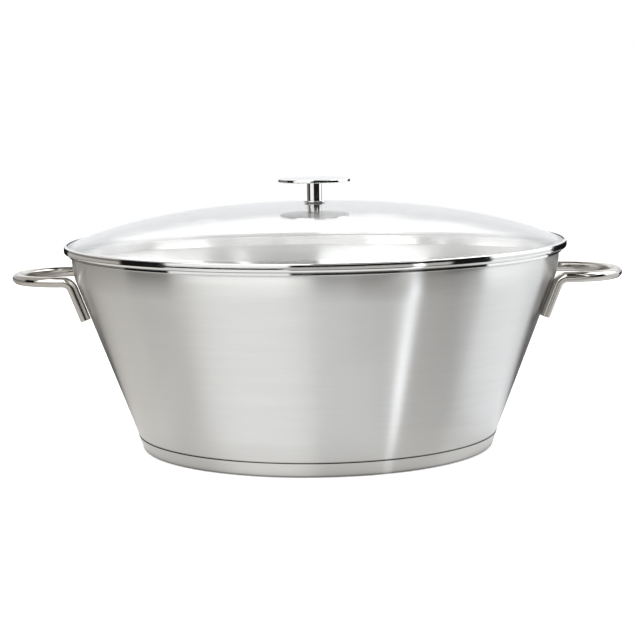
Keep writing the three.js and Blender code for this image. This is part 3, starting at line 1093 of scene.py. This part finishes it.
FLOOR_CARDS = (
    (180, 8, 0.5, 3, 0.03, 1.0, 0),
    (-158.5, 13.5, 0.75, 3, 0.03, 0.01, 0),
    (-119.5, 25.5, 0.5, 3, 0.03, 0.5, 0.04),
    (-44, 32, 0.8, 1.2, 0.03, 0.01, 0),
    (-44, 32, 1.2, 3, 0.03, 0.85, 0),
    (50, 27, 0.42, 0.75, 0.05, 0.4, 0.03),
    (-80.5, 13.5, 0.75, 3, 0.03, 0.01, 0),
    (76, 11, 0.75, 3, 0.03, 0.01, 0),
    (109.5, 22.5, 0.4, 3, 0.03, 1.0, -0.01),
    (152, 20, 0.75, 3, 0.03, 0.01, 0),
)

# Light that the floor throws up close to the pan, as (bearing, level, warmth), and far from it
NEAR_FLOOR = (
    (-180, 0.05, 0.05),
    (-128, 0.05, 0.05),
    (-116, 0.6, 0.04),
    (-100, 0.85, 0.03),
    (-64, 0.93, 0.02),
    (-50, 0.88, 0.01),
    (-40, 1.03, 0.005),
    (-28, 1.08, 0),
    (-8, 1.06, 0),
    (2, 1.05, 0),
    (20, 1.04, 0),
    (40, 0.74, 0.01),
    (58, 0.62, 0.01),
    (66, 0.76, 0),
    (76, 1.0, -0.015),
    (100, 1.2, -0.015),
    (116, 0.9, -0.01),
    (128, 0.1, 0.03),
    (180, 0.05, 0.05),
)
FAR_FLOOR = grey(0.55, 0.015)
PAN_SHADOW = grey(0.75, 0.02)
CONTACT_SHADOW = grey(0.22, 0.02)

# Metres from the axis over which each shadow clears, and the near light gives way to the far one
SHADOW_CLEARS = (0.127, 0.16)
CONTACT_CLEARS = (0.1275, 0.1305)
FAR_BEGINS = (0.4, 0.85)

# Centre of the pan, and where the band's round mirror seems to see the floor from
PAN_CENTRE = (0.0, 0.0, 0.0)
MIRROR_FOCUS = (0.0, -0.12, 0.0)

# Narrow beam along the floor from the pan's foot, to the right of the camera: its half width and
# bearing in degrees, the metres from the axis over which it grows, and its share at the start
BEAM = grey(2.4, -0.02)
BEAM_FOOT = (-0.004, -0.066, 0.0)
BEAM_BEARING = 47.5
BEAM_HALF_WIDTH = 2.2
BEAM_GROWS = (0.13, 0.22)
BEAM_START = 0.1

# Sizes of the stage in metres, and of the camera's sensor in millimetres
FLOOR_FACETS = 128
FLOOR_DROP = 0.0003
LAMP_SIZE = 1.6
LAMP_HEIGHT = 1.5
SENSOR_WIDTH = 36

# Count of bounces below which a ray has had none
NO_BOUNCE = 0.5


class PRESERVINGPAN_OT_stage(Operator):
    """Set up the pale floor, the soft studio light and the camera"""

    bl_idname = "preserving_pan.stage"
    bl_label = "Stage"

    def execute(self, context):
        scene = context.scene
        stage = scene.stage_settings
        scene.view_settings.view_transform = "Standard"
        self.add_floor(scene, stage)
        self.light_world(scene)
        self.add_lamp(scene, stage)
        self.add_camera(scene, stage)
        return {"FINISHED"}

    def add_floor(self, scene, stage):
        """Round pale floor, a hair below the pan."""
        shape = bmesh.new()
        bmesh.ops.create_circle(
            shape, cap_ends=True, radius=stage.floor_radius, segments=FLOOR_FACETS
        )
        bmesh.ops.translate(shape, verts=shape.verts[:], vec=(0, 0, -FLOOR_DROP))
        mesh = bpy.data.meshes.new("floor")
        shape.to_mesh(mesh)
        shape.free()
        mesh.materials.append(self.pale_floor(stage))
        floor = bpy.data.objects.new("floor", mesh)
        scene.collection.objects.link(floor)

    def pale_floor(self, stage):
        """White to the camera and through glass, with the object's shadow, and lit for metal."""
        material = bpy.data.materials.new("Pale floor")
        material.use_nodes = True
        material.cycles.emission_sampling = "NONE"
        tree = material.node_tree
        tree.nodes.clear()
        place = put(tree, "ShaderNodeTexCoord").outputs["Object"]
        thrown = put(tree, "ShaderNodeEmission", {"Color": self.thrown_light(tree, place)})
        paint = put(tree, "ShaderNodeBsdfDiffuse", {"Color": shade(stage.floor, 1.0)})
        path = put(tree, "ShaderNodeLightPath").outputs
        seen = math_node(tree, "MAXIMUM", path["Is Camera Ray"], path["Is Transmission Ray"])
        glow = math_node(tree, "MULTIPLY", seen, stage.floor_glow)
        white = put(tree, "ShaderNodeEmission", {"Strength": glow})
        pale = put(tree, "ShaderNodeAddShader", {0: paint.outputs[0], 1: white.outputs[0]})
        rays = {0: path["Is Glossy Ray"], 1: pale.outputs[0], 2: thrown.outputs[0]}
        both = put(tree, "ShaderNodeMixShader", rays)
        put(tree, "ShaderNodeOutputMaterial", {"Surface": both.outputs[0]})
        return material

    def thrown_light(self, tree, place):
        """Light that the floor throws up at polished and brushed metal."""
        reach = vector_node(tree, "LENGTH", place)
        near = ring_of_light(tree, bearing_from(tree, place, PAN_CENTRE), NEAR_FLOOR)
        for colour, clears in ((PAN_SHADOW, SHADOW_CLEARS), (CONTACT_SHADOW, CONTACT_CLEARS)):
            clear = remap(tree, reach, *clears, 0.0, 1.0, smooth=True)
            near = blend(tree, clear, colour, near)
        far = remap(tree, reach, *FAR_BEGINS, 0.0, 1.0, smooth=True)
        light = blend(tree, far, near, FAR_FLOOR)
        mirrored = bearing_from(tree, place, MIRROR_FOCUS)
        light = hang_cards(tree, light, mirrored, reach, FLOOR_CARDS)
        beam_sides = (BEAM_BEARING - BEAM_HALF_WIDTH, BEAM_BEARING + BEAM_HALF_WIDTH)
        in_beam = between(tree, bearing_from(tree, place, BEAM_FOOT), *beam_sides, CARD_EDGE)
        grown = remap(tree, reach, *BEAM_GROWS, BEAM_START, 1.0, smooth=True)
        return blend(tree, math_node(tree, "MULTIPLY", in_beam, grown), light, BEAM)

    def light_world(self, scene):
        """White where the camera looks, and a studio round the pan for its reflections."""
        world = bpy.data.worlds.new("Studio")
        scene.world = world
        world.use_nodes = True
        tree = world.node_tree
        tree.nodes.clear()
        bearing, parts = bearing_of(tree, put(tree, "ShaderNodeTexCoord").outputs["Generated"])
        rise = math_node(tree, "DEGREES", math_node(tree, "ARCSINE", parts[2]))
        studio = hang_cards(tree, DARK_ROOM, bearing, rise, STUDIO_CARDS)
        path = put(tree, "ShaderNodeLightPath").outputs
        bounced = math_node(tree, "ADD", path["Glossy Depth"], path["Diffuse Depth"])
        direct = math_node(tree, "LESS_THAN", bounced, NO_BOUNCE)
        through = math_node(tree, "MULTIPLY", path["Is Transmission Ray"], direct)
        seen = math_node(tree, "MAXIMUM", path["Is Camera Ray"], through)
        background = put(
            tree, "ShaderNodeBackground", {"Color": blend(tree, seen, studio, WHITE)}
        )
        put(tree, "ShaderNodeOutputWorld", {"Surface": background.outputs[0]})

    def add_lamp(self, scene, stage):
        """Wide soft lamp overhead, which lights the floor and gives the pan its soft shadow."""
        data = bpy.data.lights.new("soft_lamp", "AREA")
        data.shape = "DISK"
        data.size = LAMP_SIZE
        data.energy = stage.lamp_power
        lamp = bpy.data.objects.new("soft_lamp", data)
        lamp.location = (0, 0, LAMP_HEIGHT)
        lamp.visible_glossy = False
        lamp.visible_camera = False
        scene.collection.objects.link(lamp)

    def add_camera(self, scene, stage):
        """Camera at the height and distance of the picture."""
        data = bpy.data.cameras.new("camera")
        data.sensor_width = SENSOR_WIDTH
        data.lens = stage.camera_lens
        camera = bpy.data.objects.new("camera", data)
        place = Vector((-stage.camera_aside, -stage.camera_distance, stage.camera_height))
        camera.matrix_world = (
            Matrix.Rotation(stage.camera_orbit, 4, "Z")
            @ Matrix.Translation(place)
            @ Matrix.Rotation(-stage.camera_yaw, 4, "Z")
            @ Matrix.Rotation(math.pi / 2 - stage.camera_down, 4, "X")
            @ Matrix.Rotation(-stage.camera_roll, 4, "Z")
        )
        scene.collection.objects.link(camera)
        scene.camera = camera


OPERATORS = (
    PRESERVINGPAN_OT_pan,
    PRESERVINGPAN_OT_base,
    PRESERVINGPAN_OT_handles,
    PRESERVINGPAN_OT_glass,
    PRESERVINGPAN_OT_band,
    PRESERVINGPAN_OT_knob,
    PRESERVINGPAN_OT_knob_seat,
    PRESERVINGPAN_OT_stage,
)

SETTINGS = {
    "pan_sizes": PanSizes,
    "lid_sizes": LidSizes,
    "knob_sizes": KnobSizes,
    "pan_finishes": Finishes,
    "stage_settings": StageSettings,
}


class PRESERVINGPAN_PT_sidebar(Panel):
    """Lists the pieces and their settings"""

    bl_idname = "PRESERVINGPAN_PT_sidebar"
    bl_label = "Preserving Pan"
    bl_space_type = "VIEW_3D"
    bl_region_type = "UI"
    bl_category = "Preserving Pan"

    def draw(self, context):
        for operator in OPERATORS:
            self.layout.operator(operator.bl_idname)
        for name, group in SETTINGS.items():
            box = self.layout.box()
            for setting in group.__annotations__:
                box.prop(getattr(context.scene, name), setting)


CLASSES = (*SETTINGS.values(), *OPERATORS, PRESERVINGPAN_PT_sidebar)


def register():
    """Adds the settings, operators and panel."""
    for cls in CLASSES:
        bpy.utils.register_class(cls)
    for name, group in SETTINGS.items():
        setattr(bpy.types.Scene, name, PointerProperty(type=group))


def unregister():
    """Takes them away again."""
    for name in SETTINGS:
        delattr(bpy.types.Scene, name)
    for cls in reversed(CLASSES):
        bpy.utils.unregister_class(cls)


def main():
    """Makes every piece and the stage."""
    register()
    for operator in OPERATORS:
        family, name = operator.bl_idname.split(".")
        getattr(getattr(bpy.ops, family), name)()


if __name__ == "__main__":
    main()
